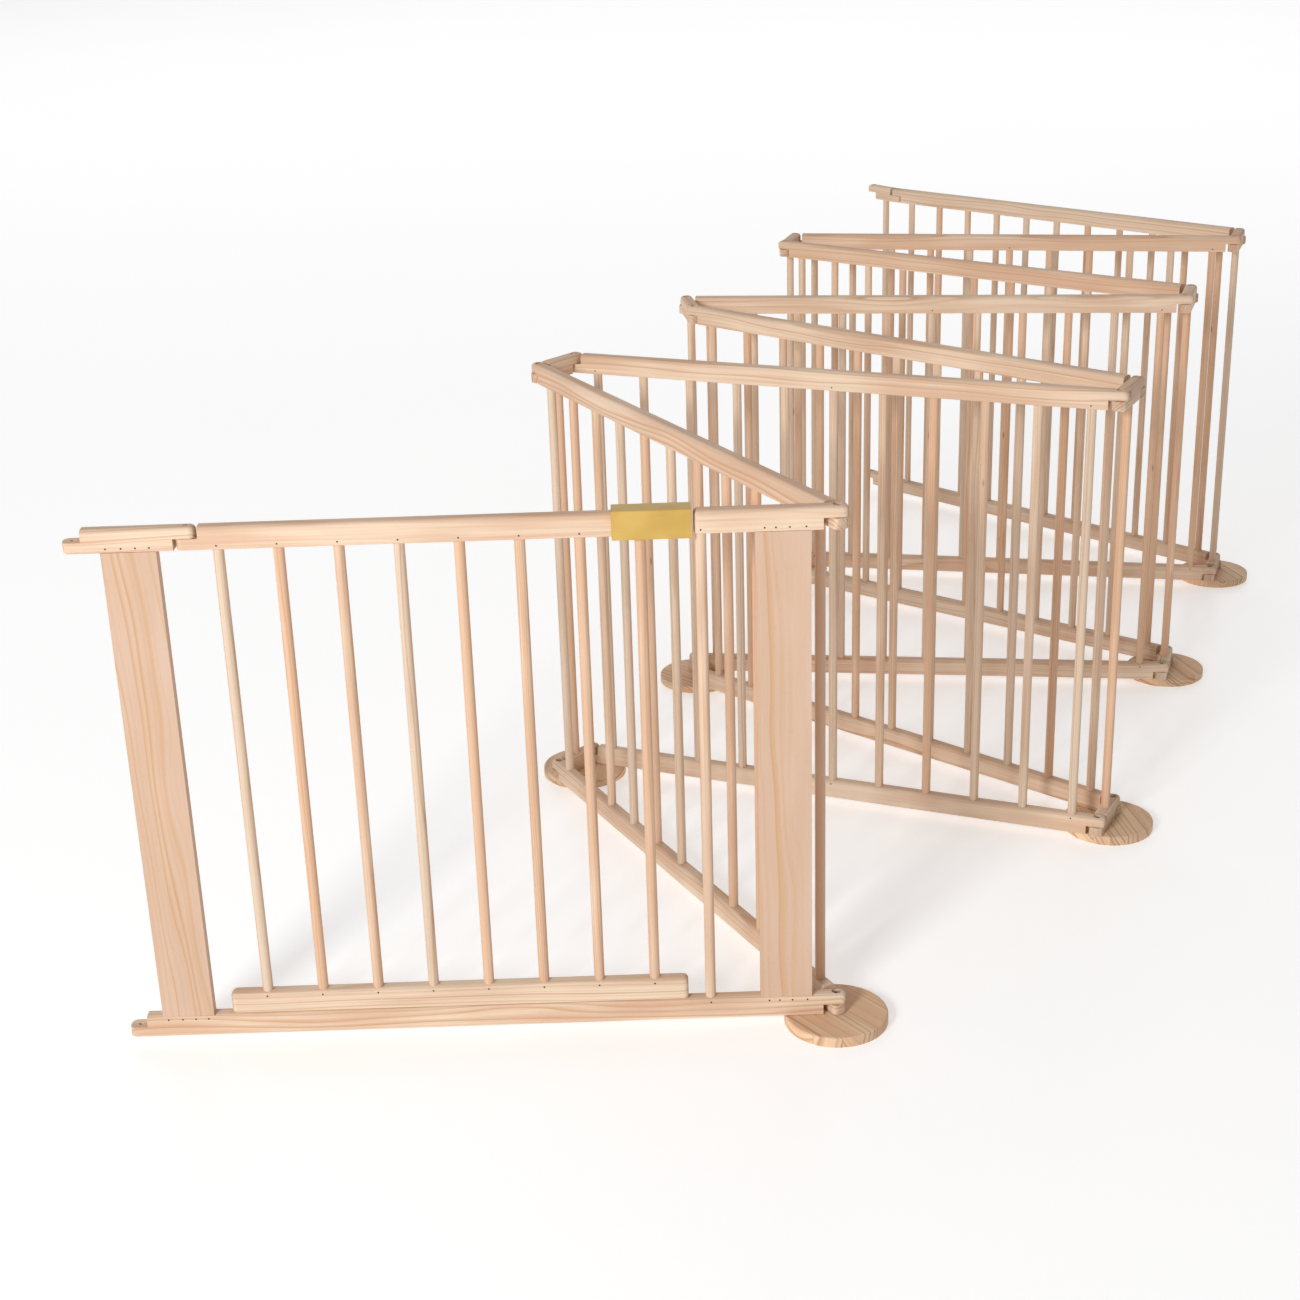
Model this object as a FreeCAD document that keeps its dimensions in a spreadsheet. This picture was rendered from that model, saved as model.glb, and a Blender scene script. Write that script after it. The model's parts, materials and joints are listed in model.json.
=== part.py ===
import FreeCAD, Part
import os
import Sketcher

# Folding wooden playpen: one gate panel and seven barred panels joined by one-bar links into a zigzag.
# Frame: +Z up, origin on the floor under the bolt that joins the gate panel to the second panel.
# The gate panel lies along X, on the -X side of the origin; the other panels fold away towards +Y.
# Every rail and link ends in half-lap tongues: a lower one at its first end, an upper one at its last
# end. Each upper tongue sits over the next piece's lower tongue, with an upright bolt through both.

DIMENSIONS = {
    # section shared by rails and links
    "rail_height": 28.0,
    "rail_depth": 20.0,
    "top_round": 6.0,
    "under_round": 1.5,
    "end_round": 7.5,
    "lap_gap": 0.6,
    "tongue_reach": 12.5,
    "shoulder": 15.0,
    "corner_shoulder": 17.0,
    "free_shoulder": 10.0,
    "cut_over": 5.0,
    # heights
    "foot_thickness": 14.0,
    "seat_height": 0.4,
    "rail_rise": 644.5,
    # spans between bolts
    "gate_span": 880.0,
    "panel_span": 816.0,
    "link_span": 76.0,
    # bars of the plain panels and the links
    "bar_radius": 6.5,
    "bar_socket": 12.0,
    "bar_count": 11.0,
    "bar_pitch": 74.0,
    "link_bars": 1.0,
    # feet
    "foot_radius": 66.0,
    "foot_shift": 20.0,
    "foot_round": 3.0,
    "seat_width": 16.0,
    "seat_length": 36.0,
    "corner_seat_at": -44.0,
    # bolts
    "bolt_radius": 3.0,
    "run_clearance": 0.06,
    "free_hole_radius": 3.25,
    "head_bore_radius": 5.8,
    "head_bore_depth": 5.0,
    "head_radius": 4.6,
    "head_rim": 1.2,
    "head_height": 2.4,
    "head_clearance": 0.4,
    "crown_radius": 3.2,
    "hex_radius": 2.1,
    "hex_depth": 1.6,
    "bolt_inset": 1.0,
    # gate panel, measured from its free-end bolt hole
    "stile_width": 64.5,
    "stile_thickness": 15.0,
    "tenon_width": 48.0,
    "tenon_thickness": 7.0,
    "tenon_depth": 8.0,
    "left_stile_at": 31.0,
    "right_stile_at": 784.2,
    "fixed_bars": 1.0,
    "stub_shoulder_at": 115.4,
    "stub_end_at": 141.4,
    "fixed_rail_at": 713.5,
    "fixed_bar_at": 721.5,
    "fixed_end_round": 6.5,
    "gate_pin_at": 130.0,
    # gate leaf
    "leaf_tip_at": 118.4,
    "leaf_shoulder_at": 144.4,
    "leaf_end_at": 711.0,
    "leaf_foot_end_at": 693.5,
    "leaf_lift": 2.0,
    "leaf_bar_at": 165.0,
    "leaf_bar_pitch": 69.5,
    "leaf_bar_count": 8.0,
    "leaf_pin_depth": 16.0,
    "leaf_corner": 6.5,
    # latch sleeve
    "sleeve_length": 92.0,
    "sleeve_wall": 3.6,
    "sleeve_clearance": 0.4,
    "sleeve_slot": 15.0,
    "sleeve_round": 2.0,
}

# Directions of the panels and links in the rest pose, in degrees from +X, from the gate panel onwards.
HEADINGS = {
    "panel_2": 117.0, "link_b": 49.0, "panel_3": -23.0, "link_c": 61.0, "panel_4": 137.0,
    "link_d": 98.0, "panel_5": -8.0, "link_e": 70.0, "panel_6": 141.0, "link_f": 72.0,
    "panel_7": -12.0, "link_g": 68.0, "panel_8": 134.0, "link_h": 125.0,
}
LINK_WITHOUT_FOOT = "link_h"

doc = FreeCAD.newDocument("playpen")
sheet = doc.addObject("Spreadsheet::Sheet", "dims")
for line, (alias, amount) in enumerate(DIMENSIONS.items(), start=1):
    sheet.set(f"A{line}", alias)
    sheet.set(f"B{line}", str(amount))
    sheet.setAlias(f"B{line}", alias)
doc.recompute()

nodes = []


class Dim:
    """A size built from sheet dimensions: its present amount and the expression that drives it."""

    def __init__(self, amount, text):
        self.amount = amount
        self.text = text

    def __add__(self, other):
        other = as_dim(other)
        return Dim(self.amount + other.amount, f"({self.text} + {other.text})")

    def __sub__(self, other):
        other = as_dim(other)
        return Dim(self.amount - other.amount, f"({self.text} - {other.text})")

    def __mul__(self, factor):
        return Dim(self.amount * factor, f"({self.text} * {factor})")

    def __truediv__(self, divisor):
        return self * (1.0 / divisor)

    def __neg__(self):
        return self * -1.0


def as_dim(thing):
    """A Dim as it is, or a plain number as a fixed one."""
    return thing if isinstance(thing, Dim) else Dim(float(thing), repr(float(thing)))


def dim(alias):
    """The Dim of one sheet dimension."""
    return Dim(float(sheet.get(alias)), f"dims.{alias}")


HEIGHT = dim("rail_height")
DEPTH = dim("rail_depth")
REACH = dim("tongue_reach")
OVER = dim("cut_over")
TONGUE_BASE = (HEIGHT + dim("lap_gap")) / 2
LOW_Z = dim("foot_thickness") + dim("seat_height")
TOP_Z = LOW_Z + dim("rail_rise")
OWN_HOLE = dim("bolt_radius")
SWING_HOLE = dim("bolt_radius") + dim("run_clearance")
FREE_HOLE = dim("free_hole_radius")
BAR = dim("bar_radius")
SOCKET = dim("bar_socket")
TENON = dim("tenon_depth")
BAR_Z = LOW_Z + HEIGHT - SOCKET
BAR_LENGTH = dim("rail_rise") - HEIGHT + SOCKET * 2
# Corners of a unit hexagon, as cosines and sines.
HEXAGON = (
    (1.0, 0.0), (0.5, 0.8660254), (-0.5, 0.8660254),
    (-1.0, 0.0), (-0.5, -0.8660254), (0.5, -0.8660254),
)


def bind(thing, prop, amount):
    """Ties a property to a Dim."""
    thing.setExpression(prop, as_dim(amount).text)


def node(thing, label, placement):
    """Names a finished sub-part, puts it in place and lists it for export."""
    thing.Label = label
    thing.Placement = placement
    nodes.append(thing)
    return thing


def frame(x, y, z, heading=0.0):
    """Placement at a point, turned about +Z by a heading in degrees."""
    return FreeCAD.Placement(FreeCAD.Vector(x, y, z), FreeCAD.Rotation(FreeCAD.Vector(0, 0, 1), heading))


def from_pin(x, y, z, heading=0.0):
    """Placement of a rail or link whose first bolt stands at a plan point."""
    return frame(x, y, z, heading) * frame(-REACH.amount, -DEPTH.amount / 2, 0.0)


def origin_part(body, role):
    """One of the body's own origin planes or axes."""
    for feature in body.Origin.OriginFeatures:
        if feature.Role == role:
            return feature
    raise KeyError(role)


def new_sketch(body, name, height=None, plane="XY_Plane"):
    """Empty sketch on an origin plane of the body, lifted along the plane's normal by a Dim."""
    sketch = body.newObject("Sketcher::SketchObject", name)
    sketch.AttachmentSupport = [(origin_part(body, plane), "")]
    sketch.MapMode = "FlatFace"
    if height is not None:
        bind(sketch, "AttachmentOffset.Base.z", height)
    return sketch


def drive(sketch, kind, where, amount):
    """Adds a driving constraint whose datum follows a Dim."""
    index = sketch.addConstraint(Sketcher.Constraint(kind, *where, amount.amount))
    sketch.renameConstraint(index, f"size_{index}")
    sketch.setExpression(f"Constraints.size_{index}", amount.text)


def hold(sketch, axis, geometry, point, amount):
    """Holds a point at a distance from the sketch's origin along X or Y."""
    amount = as_dim(amount)
    if amount.amount == 0.0:
        sketch.addConstraint(Sketcher.Constraint("PointOnObject", geometry, point, -2 if axis == "X" else -1))
    else:
        drive(sketch, f"Distance{axis}", (-1, 1, geometry, point), amount)


def polygon(sketch, points):
    """Closed outline of straight sides through points given as pairs of Dims or numbers."""
    spots = [(as_dim(x), as_dim(y)) for x, y in points]
    corners = [FreeCAD.Vector(x.amount, y.amount, 0) for x, y in spots]
    first = sketch.GeometryCount
    for start, end in zip(corners, corners[1:] + corners[:1]):
        sketch.addGeometry(Part.LineSegment(start, end))
    for side in range(len(spots)):
        following = first + (side + 1) % len(spots)
        sketch.addConstraint(Sketcher.Constraint("Coincident", first + side, 2, following, 1))
    for side, (x, y) in enumerate(spots):
        hold(sketch, "X", first + side, 1, x)
        hold(sketch, "Y", first + side, 1, y)


def rectangle(sketch, x0, x1, y0, y1):
    """Rectangle between two x and two y positions."""
    polygon(sketch, ((x0, y0), (x1, y0), (x1, y1), (x0, y1)))


def circle(sketch, x, y, radius):
    """Circle about a point."""
    x, y = as_dim(x), as_dim(y)
    centre = FreeCAD.Vector(x.amount, y.amount, 0)
    index = sketch.addGeometry(Part.Circle(centre, FreeCAD.Vector(0, 0, 1), radius.amount))
    hold(sketch, "X", index, 3, x)
    hold(sketch, "Y", index, 3, y)
    drive(sketch, "Radius", (index,), radius)


def pad(body, sketch, length):
    """Pad along the sketch's normal."""
    feature = body.newObject("PartDesign::Pad", f"{sketch.Name}_pad")
    feature.Profile = sketch
    bind(feature, "Length", length)
    return feature


def pocket(body, sketch, depth):
    """Pocket against the sketch's normal."""
    feature = body.newObject("PartDesign::Pocket", f"{sketch.Name}_pocket")
    feature.Profile = sketch
    bind(feature, "Length", depth)
    return feature


def fillet(body, radius, wanted):
    """Fillet on the edges of the body's tip that a test picks."""
    doc.recompute()
    base = body.Tip
    names = [f"Edge{index}" for index, edge in enumerate(base.Shape.Edges, start=1) if wanted(edge)]
    feature = body.newObject("PartDesign::Fillet", f"{body.Name}_round")
    feature.Base = (base, names)
    bind(feature, "Radius", radius)
    return feature


def is_level(edge, height):
    """Whether an edge lies at one height."""
    box = edge.BoundBox
    return abs(box.ZMin - height) < 1e-4 and abs(box.ZMax - height) < 1e-4


def is_upright(edge, x):
    """Whether an edge is upright at a given x."""
    box = edge.BoundBox
    return box.ZLength > 1.0 and box.XLength < 1e-4 and abs(box.XMin - x) < 1e-4


def repeat(body, original, length, count):
    """Repeats a feature along X, the last copy at a given distance."""
    feature = body.newObject("PartDesign::LinearPattern", f"{original.Name}_row")
    feature.Originals = [original]
    feature.Direction = (origin_part(body, "X_Axis"), [""])
    bind(feature, "Length", length)
    bind(feature, "Occurrences", count)
    body.Tip = feature


def blank(label, length, first_round, last_round):
    """Rail blank from x = 0 to its length, with its end corners and long edges rounded."""
    body = doc.addObject("PartDesign::Body", label)
    outline = new_sketch(body, f"{label}_outline")
    rectangle(outline, 0, length, 0, DEPTH)
    pad(body, outline, HEIGHT)
    fillet(body, first_round, lambda edge: is_upright(edge, 0.0))
    fillet(body, last_round, lambda edge: is_upright(edge, length.amount))
    fillet(body, dim("top_round"), lambda edge: is_level(edge, HEIGHT.amount))
    fillet(body, dim("under_round"), lambda edge: is_level(edge, 0.0))
    return body


def lower_tongue(body, shoulder):
    """Cuts the upper half away from x = 0 to the shoulder."""
    sketch = new_sketch(body, f"{body.Name}_lower", HEIGHT)
    rectangle(sketch, -OVER, shoulder, -OVER, DEPTH + OVER)
    pocket(body, sketch, TONGUE_BASE)


def upper_tongue(body, shoulder, length):
    """Cuts the lower half away from the shoulder to the last end."""
    sketch = new_sketch(body, f"{body.Name}_upper", TONGUE_BASE)
    rectangle(sketch, shoulder, length + OVER, -OVER, DEPTH + OVER)
    pocket(body, sketch, TONGUE_BASE)


def upright_hole(body, name, x, radius, mouth=HEIGHT, depth=HEIGHT):
    """Round hole on the rail's centre line, from a mouth height down by a depth."""
    sketch = new_sketch(body, f"{body.Name}_{name}", mouth)
    circle(sketch, x, DEPTH / 2, radius)
    return pocket(body, sketch, depth)


def last_hole(body, name, x, radius):
    """Bolt hole of an upper tongue, with a wider bore that takes the bolt's head."""
    upright_hole(body, name, x, radius)
    upright_hole(body, f"{name}_head", x, dim("head_bore_radius"), HEIGHT, dim("head_bore_depth"))


def mortise(body, name, x, mouth):
    """Pocket for a stile's tenon, from a mouth height down by the tenon's depth."""
    sketch = new_sketch(body, f"{body.Name}_{name}", mouth)
    y = (dim("stile_thickness") - dim("tenon_thickness")) / 2
    rectangle(sketch, x, x + dim("tenon_width"), y, y + dim("tenon_thickness"))
    pocket(body, sketch, TENON)


def sockets(body, first, row, count, mouth):
    """Row of bar sockets, from a mouth height down by the socket's depth."""
    hole = upright_hole(body, "socket", first, BAR, mouth, SOCKET)
    repeat(body, hole, row, count)


def bars(label, first, pitch, count, z, length, placement):
    """Row of round bars as one node of separate solids."""
    rods = []
    for index in range(int(count.amount)):
        rod = doc.addObject("Part::Cylinder", f"{label}_{index + 1}")
        bind(rod, "Radius", BAR)
        bind(rod, "Height", length)
        bind(rod, "Placement.Base.x", first + pitch * index)
        bind(rod, "Placement.Base.z", z)
        rods.append(rod)
    row = doc.addObject("Part::Compound", label)
    row.Links = rods
    return node(row, label, placement)


def barred_panel(label, x, y, heading):
    """Plain panel: two rails with a tongue at each end, its bars and its four bolts."""
    length = dim("panel_span") + REACH * 2
    count, pitch = dim("bar_count"), dim("bar_pitch")
    row = pitch * (count.amount - 1)
    first = (dim("panel_span") - row) / 2
    near = dim("corner_shoulder") if label == "panel_2" else dim("shoulder")
    for name, z, mouth in (("top_rail", TOP_Z, SOCKET), ("bottom_rail", LOW_Z, HEIGHT)):
        body = blank(f"{label}_{name}", length, dim("end_round"), dim("end_round"))
        lower_tongue(body, REACH + near)
        upper_tongue(body, length - REACH - dim("shoulder"), length)
        upright_hole(body, "first_bolt", REACH, OWN_HOLE)
        last_hole(body, "last_bolt", length - REACH, OWN_HOLE)
        sockets(body, REACH + first, row, count, mouth)
        node(body, f"{label}_{name}", from_pin(x, y, z.amount, heading))
    bars(f"{label}_bars", first, pitch, count, BAR_Z, BAR_LENGTH, frame(x, y, 0.0, heading))
    bolts(f"{label}_bolts", dim("panel_span"), frame(x, y, LOW_Z.amount, heading))


def link(label, x, y, heading):
    """Link of two short rails with one bar between them, and the round foot that carries it."""
    length, middle = dim("link_span") + REACH * 2, dim("link_span") / 2
    last_radius = FREE_HOLE if label == LINK_WITHOUT_FOOT else SWING_HOLE
    rails = []
    for name, z, mouth in (("top", TOP_Z, SOCKET), ("bottom", LOW_Z, HEIGHT)):
        body = blank(f"{label}_{name}", length, dim("end_round"), dim("end_round"))
        lower_tongue(body, REACH + dim("shoulder"))
        upper_tongue(body, length - REACH - dim("shoulder"), length)
        upright_hole(body, "first_bolt", REACH, SWING_HOLE)
        last_hole(body, "last_bolt", length - REACH, last_radius)
        upright_hole(body, "socket", REACH + middle, BAR, mouth, SOCKET)
        bind(body, "Placement.Base.z", z)
        rails.append(body)
    pair = doc.addObject("Part::Compound", f"{label}_rails")
    pair.Links = rails
    node(pair, f"{label}_rails", from_pin(x, y, 0.0, heading))
    placement = frame(x, y, 0.0, heading)
    bars(f"{label}_bar", middle, dim("bar_pitch"), dim("link_bars"), BAR_Z, BAR_LENGTH, placement)
    if label != LINK_WITHOUT_FOOT:
        centre = middle + dim("foot_shift")
        foot(label.replace("link", "foot"), middle - centre, placement * frame(centre.amount, 0.0, 0.0))


def foot(label, seat_at, placement):
    """Round foot with a low seat, centred on seat_at, that the rail above it rests on."""
    body = doc.addObject("PartDesign::Body", label)
    disc = new_sketch(body, f"{label}_disc")
    circle(disc, 0, 0, dim("foot_radius"))
    pad(body, disc, dim("foot_thickness"))
    fillet(body, dim("foot_round"), lambda edge: is_level(edge, dim("foot_thickness").amount))
    fillet(body, dim("under_round"), lambda edge: is_level(edge, 0.0))
    seat = new_sketch(body, f"{label}_seat", dim("foot_thickness"))
    half_length, half_width = dim("seat_length") / 2, dim("seat_width") / 2
    rectangle(seat, seat_at - half_length, seat_at + half_length, -half_width, half_width)
    pad(body, seat, dim("seat_height"))
    node(body, label, placement)


def bolts(label, span, placement):
    """Four equal bolts with hexagon-socket heads, at both ends of the top and bottom rails."""
    body = doc.addObject("PartDesign::Body", label)
    profile = new_sketch(body, f"{label}_profile", plane="XZ_Plane")
    inset, under_head = dim("bolt_inset"), HEIGHT - dim("head_bore_depth") + dim("head_clearance")
    rim, crown = under_head + dim("head_rim"), under_head + dim("head_height")
    shank, head = dim("bolt_radius"), dim("head_radius")
    polygon(profile, (
        (0, inset), (shank, inset), (shank, under_head), (head, under_head), (head, rim),
        (dim("crown_radius"), crown), (0, crown),
    ))
    turned = body.newObject("PartDesign::Revolution", f"{label}_turned")
    turned.Profile = profile
    turned.ReferenceAxis = (profile, ["V_Axis"])
    turned.Angle = 360.0
    key = new_sketch(body, f"{label}_key", crown)
    radius = dim("hex_radius")
    polygon(key, [(radius * c, radius * s) for c, s in HEXAGON])
    socket = pocket(body, key, dim("hex_depth"))
    grid = body.newObject("PartDesign::MultiTransform", f"{label}_grid")
    grid.Originals = [turned, socket]
    steps = []
    for axis, reach in (("X_Axis", span), ("Z_Axis", dim("rail_rise"))):
        step = body.newObject("PartDesign::LinearPattern", f"{label}_{axis[0].lower()}")
        step.Direction = (origin_part(body, axis), [""])
        step.Occurrences = 2
        bind(step, "Length", reach)
        steps.append(step)
    grid.Transformations = steps
    body.Tip = grid
    node(body, label, placement)


def gate_panel_frame():
    """Fixed part of the gate panel: bottom rail, two stiles, two short top rails, one bar, its pins."""
    left, tongue_left = -dim("gate_span").amount, dim("free_shoulder")
    length = dim("gate_span") + REACH * 2
    stile_inset = (dim("stile_width") - dim("tenon_width")) / 2
    left_mortise = dim("left_stile_at") + stile_inset
    right_mortise = dim("right_stile_at") + stile_inset

    bottom = blank("gate_panel_bottom_rail", length, dim("end_round"), dim("end_round"))
    lower_tongue(bottom, REACH + tongue_left)
    upper_tongue(bottom, length - REACH - dim("corner_shoulder"), length)
    upright_hole(bottom, "free_bolt", REACH, FREE_HOLE)
    last_hole(bottom, "corner_bolt", length - REACH, SWING_HOLE)
    upright_hole(bottom, "pivot", REACH + dim("gate_pin_at"), OWN_HOLE, HEIGHT, dim("leaf_pin_depth"))
    upright_hole(bottom, "bar", REACH + dim("fixed_bar_at"), BAR, HEIGHT, SOCKET)
    mortise(bottom, "left_mortise", REACH + left_mortise, HEIGHT)
    mortise(bottom, "right_mortise", REACH + right_mortise, HEIGHT)
    node(bottom, "gate_panel_bottom_rail", from_pin(left, 0.0, LOW_Z.amount))

    stub_length = dim("stub_end_at") + REACH
    stub = blank("gate_panel_hinge_rail", stub_length, dim("end_round"), dim("end_round"))
    lower_tongue(stub, REACH + tongue_left)
    upper_tongue(stub, REACH + dim("stub_shoulder_at"), stub_length)
    upright_hole(stub, "free_bolt", REACH, FREE_HOLE)
    upright_hole(stub, "pivot", REACH + dim("gate_pin_at"), OWN_HOLE)
    mortise(stub, "mortise", REACH + left_mortise, TENON)
    node(stub, "gate_panel_hinge_rail", from_pin(left, 0.0, TOP_Z.amount))

    start = dim("fixed_rail_at")
    latch_length = dim("gate_span") + REACH - start
    latch_rail = blank("gate_panel_latch_rail", latch_length, dim("fixed_end_round"), dim("end_round"))
    upper_tongue(latch_rail, latch_length - REACH - dim("corner_shoulder"), latch_length)
    last_hole(latch_rail, "corner_bolt", latch_length - REACH, SWING_HOLE)
    upright_hole(latch_rail, "bar", dim("fixed_bar_at") - start, BAR, SOCKET, SOCKET)
    mortise(latch_rail, "mortise", right_mortise - start, TENON)
    node(latch_rail, "gate_panel_latch_rail", frame(left + start.amount, -DEPTH.amount / 2, TOP_Z.amount))

    for name, at in (("left_stile", "left_stile_at"), ("right_stile", "right_stile_at")):
        stile(f"gate_panel_{name}", left + dim(at).amount)
    bars("gate_panel_bar", dim("fixed_bar_at"), dim("bar_pitch"), dim("fixed_bars"), BAR_Z, BAR_LENGTH,
         frame(left, 0.0, 0.0))
    foot("foot_a", dim("corner_seat_at"), frame(0.0, 0.0, 0.0))
    gate_pins(left)


def stile(label, x):
    """Flat upright board with a tenon at each end, its front face flush with the rails."""
    body = doc.addObject("PartDesign::Body", label)
    inset = (dim("stile_width") - dim("tenon_width")) / 2
    y = (dim("stile_thickness") - dim("tenon_thickness")) / 2
    height = dim("rail_rise") - HEIGHT
    board = new_sketch(body, f"{label}_board", TENON)
    rectangle(board, 0, dim("stile_width"), 0, dim("stile_thickness"))
    pad(body, board, height)
    core = new_sketch(body, f"{label}_core")
    rectangle(core, inset, inset + dim("tenon_width"), y, y + dim("tenon_thickness"))
    pad(body, core, height + TENON * 2)
    base = LOW_Z + HEIGHT - TENON
    node(body, label, frame(x, -DEPTH.amount / 2, base.amount))


def gate_pins(left):
    """Two plain pins that the gate leaf turns on, one in the hinge rail and one in the bottom rail."""
    x = dim("gate_pin_at")
    depth = dim("leaf_pin_depth")
    pins = []
    for name, z, length in (
        ("top", TOP_Z + dim("bolt_inset"), HEIGHT - dim("bolt_inset")),
        ("bottom", LOW_Z + HEIGHT - depth, depth * 2 + dim("leaf_lift") - dim("bolt_inset")),
    ):
        pin = doc.addObject("Part::Cylinder", f"gate_pin_{name}")
        bind(pin, "Radius", OWN_HOLE)
        bind(pin, "Height", length)
        bind(pin, "Placement.Base.x", x)
        bind(pin, "Placement.Base.z", z)
        pins.append(pin)
    pair = doc.addObject("Part::Compound", "gate_pins")
    pair.Links = pins
    node(pair, "gate_pins", frame(left, 0.0, 0.0))


def gate_leaf():
    """Swinging leaf: a top rail hung under the hinge rail's end, a bottom rail and eight bars."""
    left, tip = -dim("gate_span").amount, dim("leaf_tip_at")
    count, pitch = dim("leaf_bar_count"), dim("leaf_bar_pitch")
    row, first = pitch * (count.amount - 1), dim("leaf_bar_at") - tip
    lift = HEIGHT + dim("leaf_lift")
    corner, pin = dim("leaf_corner"), dim("gate_pin_at") - tip

    top = blank("gate_top_rail", dim("leaf_end_at") - tip, dim("end_round"), corner)
    lower_tongue(top, dim("leaf_shoulder_at") - tip)
    upright_hole(top, "pivot", pin, SWING_HOLE)
    sockets(top, first, row, count, SOCKET)
    node(top, "gate_top_rail", frame(left + tip.amount, -DEPTH.amount / 2, TOP_Z.amount))

    bottom = blank("gate_bottom_rail", dim("leaf_foot_end_at") - tip, dim("end_round"), corner)
    upright_hole(bottom, "pivot", pin, SWING_HOLE, dim("leaf_pin_depth"), dim("leaf_pin_depth"))
    sockets(bottom, first, row, count, HEIGHT)
    node(bottom, "gate_bottom_rail", frame(left + tip.amount, -DEPTH.amount / 2, (LOW_Z + lift).amount))

    bar_z = LOW_Z + lift + HEIGHT - SOCKET
    bar_length = dim("rail_rise") - lift - HEIGHT + SOCKET * 2
    bars("gate_bars", dim("leaf_bar_at"), pitch, count, bar_z, bar_length, frame(left, 0.0, 0.0))


def latch_sleeve():
    """Sleeve that slides from the gate's top rail over the latch rail: a box with a slot underneath."""
    body = doc.addObject("PartDesign::Body", "latch_sleeve")
    wall, length = dim("sleeve_wall"), dim("sleeve_length")
    bore_depth, bore_height = DEPTH + dim("sleeve_clearance") * 2, HEIGHT + dim("sleeve_clearance") * 2
    depth, height = bore_depth + wall * 2, bore_height + wall * 2
    outline = new_sketch(body, "latch_sleeve_outline")
    rectangle(outline, 0, length, 0, depth)
    pad(body, outline, height)
    fillet(body, dim("sleeve_round"), lambda edge: edge.BoundBox.XLength > length.amount - 1.0)
    bore = new_sketch(body, "latch_sleeve_bore", length + OVER, plane="YZ_Plane")
    rectangle(bore, wall, wall + bore_depth, wall, wall + bore_height)
    pocket(body, bore, length + OVER * 2)
    slot = new_sketch(body, "latch_sleeve_slot", wall + OVER)
    near, far = (depth - dim("sleeve_slot")) / 2, (depth + dim("sleeve_slot")) / 2
    rectangle(slot, -OVER, length + OVER, near, far)
    pocket(body, slot, wall + OVER * 2)
    x = dim("leaf_end_at") - dim("gate_span") - length
    z = TOP_Z - dim("sleeve_clearance") - wall
    node(body, "latch_sleeve", frame(x.amount, -depth.amount / 2, z.amount))


def chain():
    """Plan position of each panel and link: where its first bolt stands, and its heading."""
    point = FreeCAD.Vector(0, 0, 0)
    for label, heading in HEADINGS.items():
        yield label, point.x, point.y, heading
        span = dim("panel_span") if label.startswith("panel") else dim("link_span")
        turn = FreeCAD.Rotation(FreeCAD.Vector(0, 0, 1), heading)
        point = point + turn.multVec(FreeCAD.Vector(span.amount, 0, 0))


gate_panel_frame()
gate_leaf()
latch_sleeve()
for label, x, y, heading in chain():
    build = barred_panel if label.startswith("panel") else link
    build(label, x, y, heading)

doc.recompute()
for thing in doc.Objects:
    if "Invalid" in thing.State or "Error" in thing.State:
        raise RuntimeError(f"{thing.Label}: {thing.State}")
os.makedirs("parts", exist_ok=True)
for thing in nodes:
    if thing.Shape.isNull() or not thing.Shape.isValid():
        raise RuntimeError(f"{thing.Label}: bad shape")
    thing.Shape.exportStep(f"parts/{thing.Label}.step")
    print(thing.Label, len(thing.Shape.Solids), round(thing.Shape.Volume))
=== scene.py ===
"""Looks of a folding wooden playpen: sanded pine, steel bolts, nail heads and a moulded latch sleeve.

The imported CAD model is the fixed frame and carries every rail, bar, board, foot and bolt. This script
gives each of them its finish, turned to the direction in which its wood was cut, and adds the nails.
"""
import json
import logging
import math
from dataclasses import dataclass, field
from enum import Enum
from random import Random
from typing import Callable, Union

import bpy
from mathutils import Matrix, Vector


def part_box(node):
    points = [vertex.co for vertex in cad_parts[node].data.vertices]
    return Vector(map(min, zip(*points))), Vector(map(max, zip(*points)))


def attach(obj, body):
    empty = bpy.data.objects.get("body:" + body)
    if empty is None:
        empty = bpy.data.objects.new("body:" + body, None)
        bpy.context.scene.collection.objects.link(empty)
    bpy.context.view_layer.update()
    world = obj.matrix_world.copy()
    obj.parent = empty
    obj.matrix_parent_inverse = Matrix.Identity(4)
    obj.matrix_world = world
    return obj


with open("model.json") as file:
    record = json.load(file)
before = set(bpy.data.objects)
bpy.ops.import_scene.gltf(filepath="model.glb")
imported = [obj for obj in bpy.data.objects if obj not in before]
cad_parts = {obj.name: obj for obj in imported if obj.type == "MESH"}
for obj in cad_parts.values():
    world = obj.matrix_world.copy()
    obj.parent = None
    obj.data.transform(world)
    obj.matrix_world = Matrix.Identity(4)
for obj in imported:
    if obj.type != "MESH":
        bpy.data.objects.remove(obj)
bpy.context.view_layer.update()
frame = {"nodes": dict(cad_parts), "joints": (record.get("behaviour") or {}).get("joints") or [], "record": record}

log = logging.getLogger("playpen")

MM = 0.001
RAIL_HEIGHT = 28.0 * MM
# From the edge of a rail that faces the bars to its nails.
NAIL_LIFT = 5.0 * MM
# From a panel's centre line to its faces, in mm.
HALF_DEPTH = 10.0
# Distance from one bar to the next in mm, in the plain panels and in the gate.
BAR_PITCH = 74.0
LEAF_BAR_PITCH = 69.5
PANEL_BARS = 11
# Width of a foot's glued strips in mm, and the place of the first one beside the foot's middle.
FOOT_STRIP = 22.0
FOOT_FIRST_STRIP = 6.6

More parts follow.
